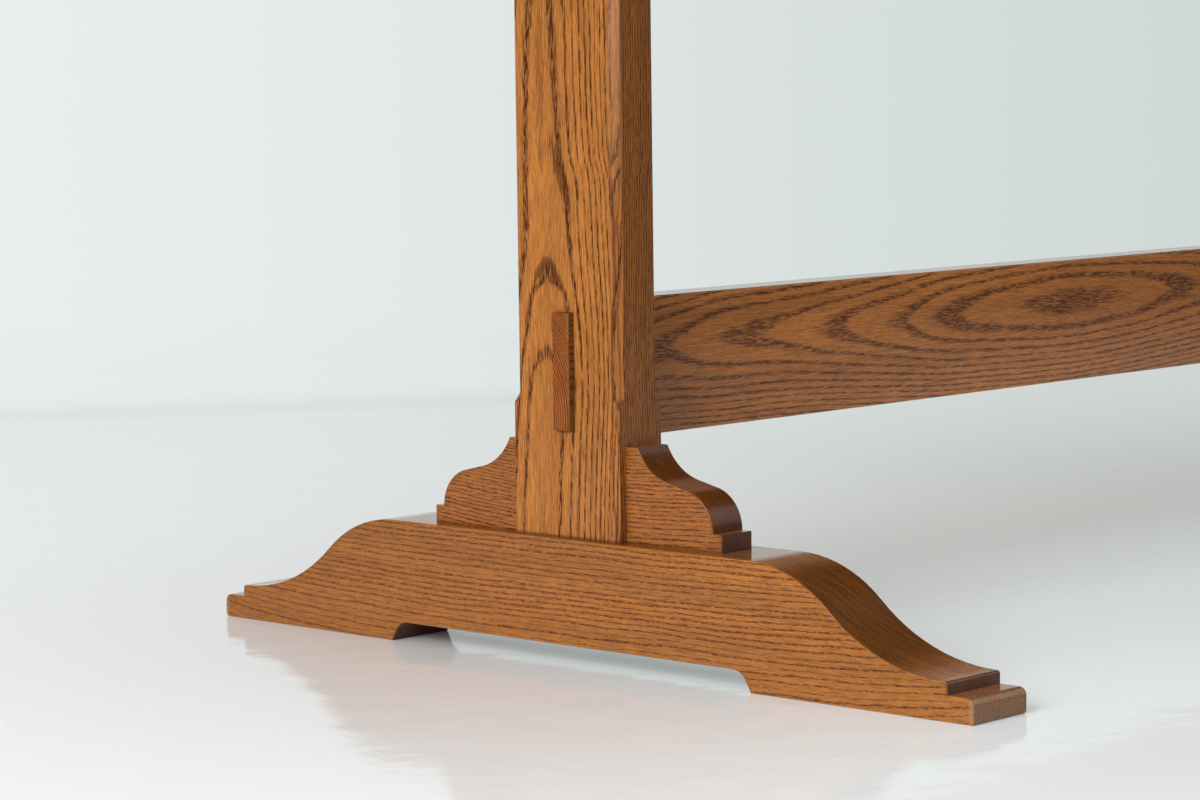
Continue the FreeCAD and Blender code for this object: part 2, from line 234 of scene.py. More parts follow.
# %% Lay the floor
FLOOR_RADIUS = 16.0
FLOOR_CORNERS = 128

bpy.ops.object.select_all(action="DESELECT")
bpy.ops.mesh.primitive_circle_add(vertices=FLOOR_CORNERS, radius=FLOOR_RADIUS, fill_type="NGON")
floor = bpy.context.object
floor.name = "floor"
floor_paint, floor_tree, floor_shader = new_finish("pale_floor")
floor.data.materials.append(floor_paint)
print("floor radius", FLOOR_RADIUS)

# %% [markdown]
# On the left of the picture a soft, slightly darker line crosses the floor, where a wall begins. We find it
# by two directions on the floor: to the right of the picture and away from the camera. The line fades to
# the right, and it ends outside the picture.

# %% Draw the line of the wall
FLOOR_PAINT = (0.86, 0.885, 0.885, 1.0)
WALL_LINE = (0.79, 0.81, 0.81, 1.0)
WALL_DEPTH = 1.545
WALL_SLOPE = 0.213
LINE_RIGHT_END = (-0.6, -0.35)
LINE_LEFT_END = (-1.65, -1.3)
LINE_EDGE = (0.02, 0.12)
LINE_STRENGTH = 0.85
PICTURE_RIGHT = (math.sin(CAMERA_YAW), -math.cos(CAMERA_YAW), 0.0)
FAR_SIDE = (math.cos(CAMERA_YAW), math.sin(CAMERA_YAW), 0.0)

floor_place = add(floor_tree, "TexCoord").outputs["Object"]
rightward = along(floor_tree, floor_place, PICTURE_RIGHT)
wall = work(floor_tree, "MULTIPLY_ADD", rightward, WALL_SLOPE, WALL_DEPTH)
beyond = work(floor_tree, "SUBTRACT", along(floor_tree, floor_place, FAR_SIDE), wall)
leftward = ramp(floor_tree, rightward, LINE_RIGHT_END, FALL)
in_picture = times(floor_tree, leftward, ramp(floor_tree, rightward, LINE_LEFT_END))
near_line = ramp(floor_tree, work(floor_tree, "ABSOLUTE", beyond), LINE_EDGE, (LINE_STRENGTH, 0.0))
line = times(floor_tree, in_picture, near_line)
fill(floor_tree, floor_shader.inputs["Base Color"], mix_colour(floor_tree, line, FLOOR_PAINT, WALL_LINE))
print("line of the wall", WALL_DEPTH, "m behind the table")

# %% [markdown]
# The floor is paler on the right than the lamp alone makes it. More light would also fall on the wood, so
# the floor glows a little instead, and only for rays that see it: the camera's, mirrored ones and those
# that pass through something clear. The wood is lit as before.

# %% Lift the floor where it is seen
BLACK = (0.0, 0.0, 0.0, 1.0)
FLOOR_LIFT = (0.11, 0.138, 0.147, 1.0)
WALL_LIFT = (0.045, 0.045, 0.045, 1.0)
LIFT_RIGHT = (-0.85, -0.1)
LIFT_BACK = (-0.35, 0.35)
LIFT_WALL = (0.0, 0.3)
LIFT_STRENGTH = 1.0


def any_ray(tree, *kinds):
    """Gives 1 for the rays of any of these kinds, and 0 for all others."""
    rays = add(tree, "LightPath").outputs
    total = rays[kinds[0]]
    for kind in kinds[1:]:
        total = work(tree, "MAXIMUM", total, rays[kind])
    return total


in_front = ramp(floor_tree, parts(floor_tree, floor_place)["Y"], LIFT_BACK, FALL)
lifted = times(floor_tree, ramp(floor_tree, rightward, LIFT_RIGHT), in_front)
lift = mix_colour(floor_tree, lifted, BLACK, FLOOR_LIFT)
past_line = times(floor_tree, leftward, ramp(floor_tree, beyond, LIFT_WALL))
lift = mix_colour(floor_tree, past_line, lift, WALL_LIFT)
floor_seen = any_ray(floor_tree, "Is Camera Ray", "Is Glossy Ray", "Is Transmission Ray")
fill(floor_tree, floor_shader.inputs["Emission Color"], mix_colour(floor_tree, floor_seen, BLACK, lift))
floor_shader.inputs["Emission Strength"].default_value = LIFT_STRENGTH
print("floor lifted by", FLOOR_LIFT[:3])

# %% [markdown]
# Painted boards are not quite flat, and their faint waves break up what the floor mirrors. A slow noise
# through a Bump node is enough for that. The rim is a Mix Shader between the paint and a clear shader.

# %% Polish the floor and fade its rim
FLOOR_ROUGHNESS = 0.10
FLOOR_SHINE = 0.18
WAVE_SIZE = (0.05, 0.05, 0.05)
WAVE_DETAIL = 4.0
WAVE_STRENGTH = 0.2
WAVE_HEIGHT = 0.003
FADE = (1.7, 3.3)

floor_shader.inputs["Roughness"].default_value = FLOOR_ROUGHNESS
floor_shader.inputs["Specular IOR Level"].default_value = FLOOR_SHINE
waves = noise(floor_tree, floor_place, WAVE_SIZE, WAVE_DETAIL)["Fac"]
inputs = {"Height": waves, "Strength": WAVE_STRENGTH, "Distance": WAVE_HEIGHT}
fill(floor_tree, floor_shader.inputs["Normal"], add(floor_tree, "Bump", inputs).outputs["Normal"])
distance = add(floor_tree, "VectorMath", {0: floor_place}, operation="LENGTH").outputs["Value"]
clear = add(floor_tree, "BsdfTransparent").outputs["BSDF"]
inputs = {"Fac": ramp(floor_tree, distance, FADE), 1: floor_shader.outputs["BSDF"], 2: clear}
faded = add(floor_tree, "MixShader", inputs).outputs["Shader"]
fill(floor_tree, floor_tree.nodes["Material Output"].inputs["Surface"], faded)
print("floor turns clear between", FADE, "m")

# %% [markdown]
# ## Light
# The light is soft and comes from the left of the picture, so the outer faces of the trestle are bright and
# the faces that look to the right are about a third as bright. One large lamp stands on that side, as a
# window does.

# %% Set the lamp
LAMP_PLACE = Vector((-4.2, -0.7, 1.75))
LAMP_TARGET = Vector((-0.75, 0.0, 0.3))
LAMP_SIZE = (2.2, 1.8)
LAMP_POWER = 145.0

lamp_data = bpy.data.lights.new("window_side", "AREA")
lamp_data.shape = "RECTANGLE"
lamp_data.size, lamp_data.size_y = LAMP_SIZE
lamp_data.energy = LAMP_POWER
lamp = put(lamp_data, LAMP_PLACE, (LAMP_TARGET - LAMP_PLACE).to_track_quat("-Z", "Y"))
print("lamp at", lamp.location[:], "with", LAMP_POWER, "W")

# %% [markdown]
# The rest of the light is the room, painted on the world. Its ceiling is pale and lights the floor. A world
# could be one plain colour, but the lacquer mirrors the room too, and a lacquered face is only as dark as
# what it mirrors. So for mirrored rays the room has what such a studio has: a pale wall far off, one window
# high on the right, and dim corners.

# %% Start the room
BACKDROP_LEFT = (0.81, 0.86, 0.86, 1.0)
BACKDROP_RIGHT = (0.62, 0.68, 0.655, 1.0)
BACKDROP_TURN = (-0.2, 0.24)
FAR_WALL = (0.2, 0.6)

world = bpy.data.worlds.new("white_room")
bpy.context.scene.world = world
world.use_nodes = True
room_tree = world.node_tree
direction = add(room_tree, "TexCoord").outputs["Generated"]
steepness = parts(room_tree, direction)["Z"]
to_right = along(room_tree, direction, PICTURE_RIGHT)
backdrop = mix_colour(room_tree, ramp(room_tree, to_right, BACKDROP_TURN), BACKDROP_LEFT, BACKDROP_RIGHT)
far_wall = ramp(room_tree, along(room_tree, direction, FAR_SIDE), FAR_WALL)
print("backdrop from", BACKDROP_LEFT[:3], "to", BACKDROP_RIGHT[:3])

# %% [markdown]
# The Light Path node tells the kinds of rays apart. Rays that light the table meet the pale ceiling and the
# dim walls, mirrored rays meet the window and the dark corners, and the camera meets the plain backdrop.

# %% What lights the table and what it mirrors
CEILING_PALE = (0.88, 0.89, 0.89, 1.0)
CEILING_RISE = (0.45, 0.8)
ROOM_DIM = (0.09, 0.09, 0.09, 1.0)
ROOM_RIGHT = (0.06, 0.06, 0.06, 1.0)
ROOM_TURN = (0.3, 0.7)
CORNER_DIM = (0.04, 0.04, 0.04, 1.0)
WALL_TOP = (0.18, 0.36)
WINDOW_PALE = (1.8, 2.0, 2.15, 1.0)
WINDOW_SIDE = Vector((0.73, -0.45, 0.52)).normalized()
WINDOW_EDGE = (0.88, 0.93)

lighting = mix_colour(room_tree, ramp(room_tree, to_right, ROOM_TURN), ROOM_DIM, ROOM_RIGHT)
lighting = mix_colour(room_tree, far_wall, lighting, backdrop)
lighting = mix_colour(room_tree, ramp(room_tree, steepness, CEILING_RISE), lighting, CEILING_PALE)
low_wall = times(room_tree, far_wall, ramp(room_tree, steepness, WALL_TOP, FALL))
mirrored = mix_colour(room_tree, low_wall, CORNER_DIM, backdrop)
window = ramp(room_tree, along(room_tree, direction, WINDOW_SIDE), WINDOW_EDGE)
mirrored = mix_colour(room_tree, window, mirrored, WINDOW_PALE)
room = mix_colour(room_tree, any_ray(room_tree, "Is Glossy Ray"), lighting, mirrored)
room_seen = any_ray(room_tree, "Is Camera Ray", "Is Transmission Ray")
shown = mix_colour(room_tree, room_seen, room, backdrop)
fill(room_tree, room_tree.nodes["Background"].inputs["Color"], shown)
print("white room painted on the world with", len(room_tree.nodes), "nodes")

# %% [markdown]
# ## How oak grows
# Oak is a ring-porous wood. Each spring the tree lays down a band of wide pores, and each summer a band of
# dense wood. Stain sinks into the pores, so every ring shows as a dark, dashed line. A flat picture of
# grain would not meet at the corners of a piece, so we build the log itself: a solid pattern of rings round
# the pith, with the piece cut out of it. Faces, edges and ends then show what a saw would show: arches on
# one face, straight lines on the next, and short diagonals on the end. The group counts in millimetres, and
# x runs along the log.

# %% Start the group of the rings
LOG_HABITS = ("Ring Width", "Swell", "Ripple", "Drift", "Wander", "Jag", "Pore Length")
LOG_MARKS = dict.fromkeys(("Ring Age", "Ring Luck", "Pore", "Ray", "Sheet", "Fibre", "Tone"), "Float")

log_inputs = {"Place": "Vector", **dict.fromkeys(LOG_HABITS, "Float")}
log, log_in, log_out = start_group("log_rings", log_inputs, LOG_MARKS)
print("group", log.name, "takes", [socket.name for socket in log_in if socket.name])

# %% [markdown]
# A stem is never quite round. A slow noise moves every point a little, by the value of Wander, before the
# rings are counted. Then the distance to the pith, divided by the width of a ring, is the age. Swell adds
# rings along the log, Ripple adds them near the pith only, and Drift moves the pith aside. Jag frays the
# edges of the rings.

# %% Count the rings
WANDER_SIZE = (150.0, 40.0, 40.0)
FRAY_SIZE = (18.0, 0.7, 0.7)
FRAY_ROUGHNESS = 0.6
HEART_EDGE = (8.0, 30.0)
HALF = 0.5


def squared(tree, value):
    """Gives the square of a value."""
    return times(tree, value, value)


slow = noise(log, log_in["Place"], WANDER_SIZE, FINE)["Color"]
centred = vector_work(log, "SUBTRACT", slow, (HALF, HALF, HALF))
inputs = {0: centred, "Scale": log_in["Wander"]}
shifted = add(log, "VectorMath", inputs, operation="SCALE").outputs["Vector"]
moved = parts(log, vector_work(log, "ADD", log_in["Place"], shifted))
aside = work(log, "SUBTRACT", moved["Y"], log_in["Drift"])
both = work(log, "ADD", squared(log, aside), squared(log, moved["Z"]))
radius = work(log, "SQRT", both)
heart = ramp(log, work(log, "ABSOLUTE", aside), HEART_EDGE, FALL)
swell = work(log, "MULTIPLY_ADD", log_in["Ripple"], heart, log_in["Swell"])
rings = work(log, "ADD", work(log, "DIVIDE", radius, log_in["Ring Width"]), swell)
streaks = noise(log, log_in["Place"], FRAY_SIZE, FINE, FRAY_ROUGHNESS)["Fac"]
fray = work(log, "SUBTRACT", streaks, HALF)
age = work(log, "MULTIPLY_ADD", fray, log_in["Jag"], rings)
inputs = {"W": work(log, "FLOOR", age)}
luck = add(log, "TexWhiteNoise", inputs, noise_dimensions="1D").outputs["Value"]
fill(log, log_out["Ring Age"], work(log, "FRACT", age))
fill(log, log_out["Ring Luck"], luck)
print("rings counted with", len(log.nodes), "nodes")

# %% [markdown]
# Between the rings lie smaller marks. Pores are short dashes along the grain. Rays are thin sheets that run
# out from the pith, so their noise is laid on the angle round the pith and on the distance from it. Fibres
# are fine streaks, and Tone is the slow change of colour from one end of a board to the other.

# %% Pores, rays and fibres
PORE_WIDTH = 0.7
RAY_TURN = 80.0
RAY_SIZE = (8.0, 0.45, 7.0)
SHEET_SIZE = (40.0, 0.6, 30.0)
FIBRE_ROUGHNESS = 0.65
TONE_SIZE = (260.0, 22.0, 22.0)

angle = work(log, "ARCTAN2", aside, moved["Z"])
inputs = {"X": moved["X"], "Y": times(log, angle, RAY_TURN), "Z": radius}
fan = add(log, "CombineXYZ", inputs).outputs["Vector"]
dash = work(log, "DIVIDE", 1.0, log_in["Pore Length"])
inputs = {"X": dash, "Y": 1.0 / PORE_WIDTH, "Z": 1.0 / PORE_WIDTH}
thinness = add(log, "CombineXYZ", inputs).outputs["Vector"]
dashes = vector_work(log, "MULTIPLY", log_in["Place"], thinness)
fibres = noise(log, log_in["Place"], FRAY_SIZE, FINE, FIBRE_ROUGHNESS)["Fac"]
fill(log, log_out["Pore"], even_noise(log, dashes, 1.0, COARSE))
fill(log, log_out["Ray"], noise(log, fan, RAY_SIZE, COARSE)["Fac"])
fill(log, log_out["Sheet"], noise(log, fan, SHEET_SIZE, COARSE)["Fac"])
fill(log, log_out["Fibre"], fibres)
fill(log, log_out["Tone"], noise(log, log_in["Place"], TONE_SIZE, COARSE)["Fac"])
print("group", log.name, "has", len(log.nodes), "nodes")

# %% [markdown]
# ## Stain and lacquer
# The next group paints the rings. It takes what the first group found and gives back a colour, a height for
# the bump, a roughness and the share of lacquer.

# %% Start the group of the stain
stain, stain_in, stain_out = start_group(
    "stained_grain",
    {**LOG_MARKS, "End Grain": "Float", "End Shade": "Color", "End Line": "Float", "Band": "Float",
     "Fickle": "Float", "Line": "Float", "Gloss": "Float", "Summer Wood": "Color", "Spring Wood": "Color"},
    {"Color": "Color", "Height": "Float", "Roughness": "Float", "Coat": "Float"},
)
print("group", stain.name, "gives", [socket.name for socket in stain_out if socket.name])

# %% [markdown]
# The spring band starts sharply and fades out, and its pores break it into dashes. A ring differs from the
# next in width, by the value of Fickle. On a sawn end the dashes are seen from their ends, so there the
# band is whole.

# %% Spring bands
BAND_FADE = (0.6, 1.5)
SAWN_END = (0.85, 0.98)
DASH_EDGE = (0.40, 0.53)
DASH_DEPTH = (0.2, 1.0)

chance = work(stain, "SUBTRACT", stain_in["Ring Luck"], HALF)
share = work(stain, "MULTIPLY_ADD", chance, stain_in["Fickle"], 1.0)
band_width = times(stain, stain_in["Band"], share)
past = work(stain, "DIVIDE", stain_in["Ring Age"], band_width)
band = ramp(stain, past, BAND_FADE, FALL)
sawn = ramp(stain, stain_in["End Grain"], SAWN_END)
broken = ramp(stain, stain_in["Pore"], DASH_EDGE, DASH_DEPTH)
pore_rows = times(stain, band, work(stain, "MAXIMUM", sawn, broken))
spring = times(stain, pore_rows, stain_in["Line"])
print("spring bands with", len(stain.nodes), "nodes")

# %% [markdown]
# Stray pores, rays and fine hairs add small flecks between the bands. Where the cut goes across the grain,
# as on an ogee, the bands blur, and on a sawn end they come back by the value of End Line.

# %% Flecks, and bands on a slant
STRAY_EDGE = (0.57, 0.68)
STRAY_DEPTH = 0.45
RAY_EDGE = (0.57, 0.72)
RAY_DEPTH = 0.35
HAIR_EDGE = (0.44, 0.32)
HAIR_DEPTH = 0.30
SLANT = (0.05, 0.35)
SLANT_LINE = 0.12

stray = ramp(stain, stain_in["Pore"], STRAY_EDGE, (0.0, STRAY_DEPTH))
rays = ramp(stain, stain_in["Ray"], RAY_EDGE, (0.0, RAY_DEPTH))
hairs = ramp(stain, stain_in["Fibre"], HAIR_EDGE, (0.0, HAIR_DEPTH))
flecks = work(stain, "MAXIMUM", work(stain, "MAXIMUM", stray, rays), hairs)
slanted = ramp(stain, stain_in["End Grain"], SLANT, (1.0, SLANT_LINE))
end_line = times(stain, sawn, stain_in["End Line"])
line_left = work(stain, "MAXIMUM", slanted, end_line)
dark = work(stain, "MAXIMUM", times(stain, spring, line_left), flecks)
print("flecks with", len(stain.nodes), "nodes")

# %% [markdown]
# Open fibre ends drink stain, so a curved cut is much darker than a face along the grain, and the ray
# sheets show on it as fine streaks. We multiply these shades into the two colours of the wood.

# %% Shades
FIBRE_SPAN = (0.32, 0.68)
FIBRE_SHADE = (0.70, 1.18)
TONE_SPAN = (0.25, 0.75)
TONE_SHADE = (0.88, 1.12)
DRINK_SPAN = (0.04, 0.40)
DRINK_SHADE = (1.0, 0.395)
SLOPE_SPAN = (0.1, 0.4)
SHEET_SPAN = (0.36, 0.64)
SHEET_SHADE = (-0.28, 0.32)

fibre = ramp(stain, stain_in["Fibre"], FIBRE_SPAN, FIBRE_SHADE)
tone = ramp(stain, stain_in["Tone"], TONE_SPAN, TONE_SHADE)
drunk = ramp(stain, stain_in["End Grain"], DRINK_SPAN, DRINK_SHADE)
slope = ramp(stain, stain_in["End Grain"], SLOPE_SPAN)
bent = work(stain, "SUBTRACT", slope, sawn)
streaks = ramp(stain, stain_in["Sheet"], SHEET_SPAN, SHEET_SHADE)
sheets = work(stain, "MULTIPLY_ADD", bent, streaks, 1.0)
shade = times(stain, fibre, tone, drunk, sheets)
print("shades with", len(stain.nodes), "nodes")

# %% [markdown]
# Now the dark marks choose between summer wood and spring wood, and the shades are multiplied in. Lacquer
# soaks into open fibre ends, so a cut end shines less. Dark marks lie deeper and are rougher than the wood
# between.

# %% Colour, lacquer and height
WHITE = (1.0, 1.0, 1.0, 1.0)
CUT_TINT = (0.98, 0.88, 0.74, 1.0)
COAT_SPAN = (0.1, 0.5)
COAT_DEPTH = (1.0, 0.30)
SHEET_HEIGHT = 0.8
PORE_ROUGHNESS = 0.16
SATIN_ROUGHNESS = 0.40

colour = mix_colour(stain, dark, stain_in["Summer Wood"], stain_in["Spring Wood"])
inputs = {"Red": shade, "Green": shade, "Blue": shade}
grey = add(stain, "CombineColor", inputs).outputs["Color"]
colour = mix_colour(stain, 1.0, colour, grey, "MULTIPLY")
ends = mix_colour(stain, slope, WHITE, CUT_TINT)
ends = mix_colour(stain, sawn, ends, stain_in["End Shade"])
fill(stain, stain_out["Color"], mix_colour(stain, 1.0, colour, ends, "MULTIPLY"))
coat = ramp(stain, stain_in["End Grain"], COAT_SPAN, COAT_DEPTH)
fill(stain, stain_out["Coat"], times(stain, coat, stain_in["Gloss"]))
relief = times(stain, sheets, SHEET_HEIGHT)
fill(stain, stain_out["Height"], work(stain, "SUBTRACT", relief, dark))
roughness = work(stain, "MULTIPLY_ADD", dark, PORE_ROUGHNESS, SATIN_ROUGHNESS)
fill(stain, stain_out["Roughness"], roughness)
print("group", stain.name, "has", len(stain.nodes), "nodes")

# %% [markdown]
# ## One plank, one log
# Each piece gets its own material, because each was cut from its own place in a log. The Mapping node turns
# the piece so that its grain runs along x and its broad face looks along z, counts in millimetres, and puts
# the pith at zero. A tree is never quite straight, and curves say how: Swell draws the arches and eyes on a
# flat-sawn face, and Drift moves the pith aside.

# %% Helpers for a log
MILLIMETRES = 1000.0
ALONG_X = Vector((1.0, 0.0, 0.0))
ALONG_Y = Vector((0.0, 1.0, 0.0))
ALONG_Z = Vector((0.0, 0.0, 1.0))


def tint(colour, strength):
    """Makes a colour lighter or darker, channel by channel."""
    return tuple(channel * share for channel, share in zip(colour[:3], strength)) + (1.0,)


def socket_name(word):
    """Turns the name of an argument into the name of a socket."""
    return word.replace("_", " ").title()


def curve_through(tree, value, points):
    """Adds a Float Curve that runs smoothly through a few points, and gives back its height."""
    places, heights = zip(*points)
    low, high = min(heights), max(heights)
    part = add(tree, "MapRange", {"Value": value, "From Min": places[0], "From Max": places[-1]})
    node = add(tree, "FloatCurve", {"Value": part.outputs["Result"]})
    curve = node.mapping.curves[0]
    while len(curve.points) < len(points):
        curve.points.new(HALF, HALF)
    for knot, place, height in zip(curve.points, places, heights):
        knot.location = ((place - places[0]) / (places[-1] - places[0]), (height - low) / (high - low))
    node.mapping.update()
    return work(tree, "MULTIPLY_ADD", node.outputs["Value"], high - low, low)


def log_place(tree, node, grain, face, pith_step):
    """Gives the place in the log; the pith passes the middle of a piece at a step in millimetres."""
    low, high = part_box(node)
    pith = (low + high) / 2 * MILLIMETRES + Vector(pith_step)
    turn = Matrix((grain, face.cross(grain), face))
    inputs = {"Vector": add(tree, "TexCoord").outputs["Object"], "Location": turn @ -pith,
              "Rotation": turn.to_euler(), "Scale": (MILLIMETRES,) * 3}
    return add(tree, "Mapping", inputs).outputs["Vector"]


print("helpers: tint, socket_name, curve_through, log_place")

# %% [markdown]
# The function below makes the oak of one piece and puts it in the slots of the CAD object. HABITS are the
# usual values of the two groups, and a piece names only those that differ. The lacquer is the coat of the
# Principled shader: thin and satin, with less shine on cut ends. Pores sink a little, which gives the bump.

# %% Oak for one piece
SUMMER_WOOD = (0.425, 0.158, 0.035, 1.0)
SPRING_WOOD = (0.070, 0.016, 0.0032, 1.0)
HABITS = {"Pore Length": 8.0, "Wander": 4.0, "Jag": 0.6, "Band": 0.25, "Fickle": 0.6, "Line": 1.0,
          "Gloss": 1.0, "End Shade": (0.95, 0.85, 0.75, 1.0), "End Line": 0.4}
END_FRAY_SPAN = (0.8, 0.95)
END_FRAY = (1.0, 0.3)
PORE_BUMP = 0.16
PORE_DEPTH = 0.0003
WOOD_SHINE = 0.12
LACQUER_IOR = 1.33
LACQUER_ROUGHNESS = 0.12
FULL_STRENGTH = (1.0, 1.0, 1.0)


def dress(node, material):
    """Puts a material in the slots of a piece that came from CAD."""
    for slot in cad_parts[node].material_slots:
        slot.material = material


def oak(node, grain, face, pith_step, ring, curves, strength=FULL_STRENGTH, **habits):
    """Dresses one piece in stained oak, cut from its own place in a log."""
    material, tree, shader = new_finish("oak_" + node)
    place = log_place(tree, node, grain, face, pith_step)
    across = along(tree, add(tree, "TexCoord").outputs["Normal"], grain)
    growth = {"Place": place, "Ring Width": ring, "End Grain": work(tree, "ABSOLUTE", across),
              "Summer Wood": tint(SUMMER_WOOD, strength),
              "Spring Wood": tint(SPRING_WOOD, strength), **HABITS}
    for label, points in curves.items():
        growth[label] = curve_through(tree, parts(tree, place)["X"], points)
    for word, value in habits.items():
        growth[socket_name(word)] = value
    calm = ramp(tree, growth["End Grain"], END_FRAY_SPAN, END_FRAY)
    growth["Jag"] = times(tree, calm, growth["Jag"])
    for output in place_group(tree, log, growth):
        growth[output.name] = output
    finish = place_group(tree, stain, growth)
    bump = add(tree, "Bump", {"Height": finish["Height"], "Strength": PORE_BUMP, "Distance": PORE_DEPTH})
    fill(tree, shader.inputs["Base Color"], finish["Color"])
    fill(tree, shader.inputs["Roughness"], finish["Roughness"])
    fill(tree, shader.inputs["Coat Weight"], finish["Coat"])
    fill(tree, shader.inputs["Normal"], bump.outputs["Normal"])
    shader.inputs["Specular IOR Level"].default_value = WOOD_SHINE
    shader.inputs["Coat IOR"].default_value = LACQUER_IOR
    shader.inputs["Coat Roughness"].default_value = LACQUER_ROUGHNESS
    dress(node, material)


print("oak ready, with", len(HABITS), "habits")

# %% [markdown]
# ## Posts
# The posts are flat-sawn boards with a bold figure. On the near post three arches stand one above another,
# each where the stem swells by one ring. We give the swell along the post as a short list of points, in
# millimetres from the top of the stretcher's tenon, and the far post uses the same list on another log.

# %% Oak of the posts
POST_SWELL = (
    (-160.0, -2.58), (-100.0, -2.58), (-60.0, -2.50), (-20.0, -2.10), (40.0, -1.20), (60.0, -1.02),
    (85.0, -0.88), (110.0, -0.55), (140.0, -0.34), (190.0, -0.22), (280.0, 0.3), (420.0, 1.4),
)
POST_RIPPLE = (
    (-160.0, 0.0), (-100.0, 0.02), (-54.0, -0.05), (-44.0, 0.0), (-36.0, 0.22), (-28.0, 0.29),
    (-20.0, 0.38), (-10.0, 0.31), (8.0, 0.10), (16.0, 0.26), (24.0, 0.42), (42.0, 0.46), (52.0, 0.46),
    (80.0, 0.36), (92.0, 0.20), (110.0, 0.17), (125.0, 0.04), (140.0, 0.0), (300.0, 0.1), (420.0, 0.0),
)
POST_DRIFT = (
    (-160.0, 25.0), (-100.0, 22.0), (-40.0, 18.0), (35.0, 16.0), (90.0, 17.0), (115.0, 20.5),
    (180.0, 21.5), (420.0, 12.0),
)
POST_CURVES = {"Swell": POST_SWELL, "Ripple": POST_RIPPLE, "Drift": POST_DRIFT}
POST_RING = 2.0
POST_GLOSS = 0.4
POST_SPRING = (0.056, 0.0128, 0.0026, 1.0)
LEFT_POST_PITH = (86.5, 0.0, -114.0)
RIGHT_POST_PITH = (-90.0, -12.0, 6.0)

oak("left_post", ALONG_Z, -ALONG_X, LEFT_POST_PITH, POST_RING, POST_CURVES, wander=1.2, jag=0.6, band=0.29,
    gloss=POST_GLOSS, spring_wood=POST_SPRING)
oak("right_post", ALONG_Z, ALONG_X, RIGHT_POST_PITH, POST_RING, POST_CURVES, wander=2.5, jag=0.45,
    gloss=POST_GLOSS)
print("figure on two posts, rings", POST_RING, "mm wide")

# %% [markdown]
# ## Stretcher
# The front of the stretcher has an eye: there the saw came closest to the pith, and from there the rings
# open to both sides. It hangs in the shade of the top, so its colour is painted paler: painted light that
# lifts that shade.

# %% Oak of the stretcher
EYE_SWELL = (
    (-545.0, 5.2), (-500.0, 4.75), (-440.0, 4.02), (-385.0, 3.75), (-312.0, 3.0), (-292.0, 2.75),
    (-235.0, 2.05), (-217.0, 1.75), (-172.0, 1.05), (-132.0, 0.75), (-45.0, 0.15), (0.0, 0.0), (45.0, 0.13),
    (123.0, 0.75), (230.0, 1.8), (380.0, 3.0), (560.0, 3.4), (860.0, 2.4),
)
EYE_DRIFT = ((-600.0, -50.0), (-560.0, -48.0), (-515.0, -5.0), (0.0, 0.0), (300.0, 5.0), (860.0, -6.0))
EYE_CURVES = {"Swell": EYE_SWELL, "Drift": EYE_DRIFT}
EYE_RING = 2.2
EYE_PITH = (-146.0, 76.7, 16.0)
# painted light: the stretcher's colour is lifted to offset the shade of the top
STRETCHER_PAINTED_LIGHT = (1.50, 1.44, 1.34)
STRETCHER_SPRING = (0.15, 0.043, 0.006, 1.0)
TENON_SHADE = (1.28, 1.06, 0.98, 1.0)

oak("stretcher", ALONG_X, -ALONG_Y, EYE_PITH, EYE_RING, EYE_CURVES, STRETCHER_PAINTED_LIGHT, wander=1.5, jag=0.5,
    band=0.34, spring_wood=STRETCHER_SPRING, end_shade=TENON_SHADE, end_line=1.0)
print("eye of the stretcher at x", EYE_PITH[0], "mm")

# %% [markdown]
# ## Feet and bearers
# These lie with their rings flat, so their sides show straight, dashed lines and their ogees cut across the
# fibres. Feet and bearers take the same curves, and each has its pith at another place.

# %% Oak of the feet and bearers
FOOT_SWELL = ((-370.0, 0.3), (-150.0, -0.1), (60.0, 0.1), (370.0, -0.3))
FOOT_DRIFT = ((-370.0, 6.0), (0.0, -6.0), (370.0, 8.0))
FOOT_CURVES = {"Swell": FOOT_SWELL, "Drift": FOOT_DRIFT}
FOOT_STAIN = (0.90, 0.89, 0.80)
RED_BROWN = (0.122, 0.026, 0.002, 1.0)
SHORT_PORE = 4.5
FOOT_LOGS = {
    "left_foot": (ALONG_Z, (120.0, 0.0, -165.0), 3.0),
    "right_foot": (ALONG_Z, (-110.0, 40.0, -175.0), 3.0),
    "left_bearer": (-ALONG_Z, (-70.0, 0.0, 155.0), 3.0),
    "right_bearer": (-ALONG_Z, (80.0, 0.0, 165.0), 2.8),
}

for node, (face, pith_step, ring) in FOOT_LOGS.items():
    oak(node, ALONG_Y, face, pith_step, ring, FOOT_CURVES, FOOT_STAIN, wander=7.0, jag=0.5, fickle=1.3,
        pore_length=SHORT_PORE, end_line=0.15, spring_wood=RED_BROWN)
print("straight grain on", list(FOOT_LOGS))

# %% [markdown]
# ## Knee brackets
# Four small brackets fill the corners between post and foot. Their grain lies level too, a little aslant,
# and the front ones lean the other way than the back ones, as offcuts of one board would.

# %% Oak of the brackets
FRONT_SWELL = ((-60.0, -0.8), (0.0, 0.1), (60.0, 0.7))
BACK_SWELL = ((-60.0, 2.0), (0.0, 0.1), (60.0, -1.9))
BRACKET_STAIN = (0.82, 0.74, 0.62)
DEEP_RED = (0.085, 0.018, 0.0018, 1.0)
BRACKET_RING = 1.9
PITH_INWARD = 4.5
PITH_BELOW = 83.65
PITH_TILT = 8.0
BRACKET_PITH = {"left": 60.0, "right": -65.0}
BRACKET_SIDES = {"front": (-1.0, FRONT_SWELL), "back": (1.0, BACK_SWELL)}

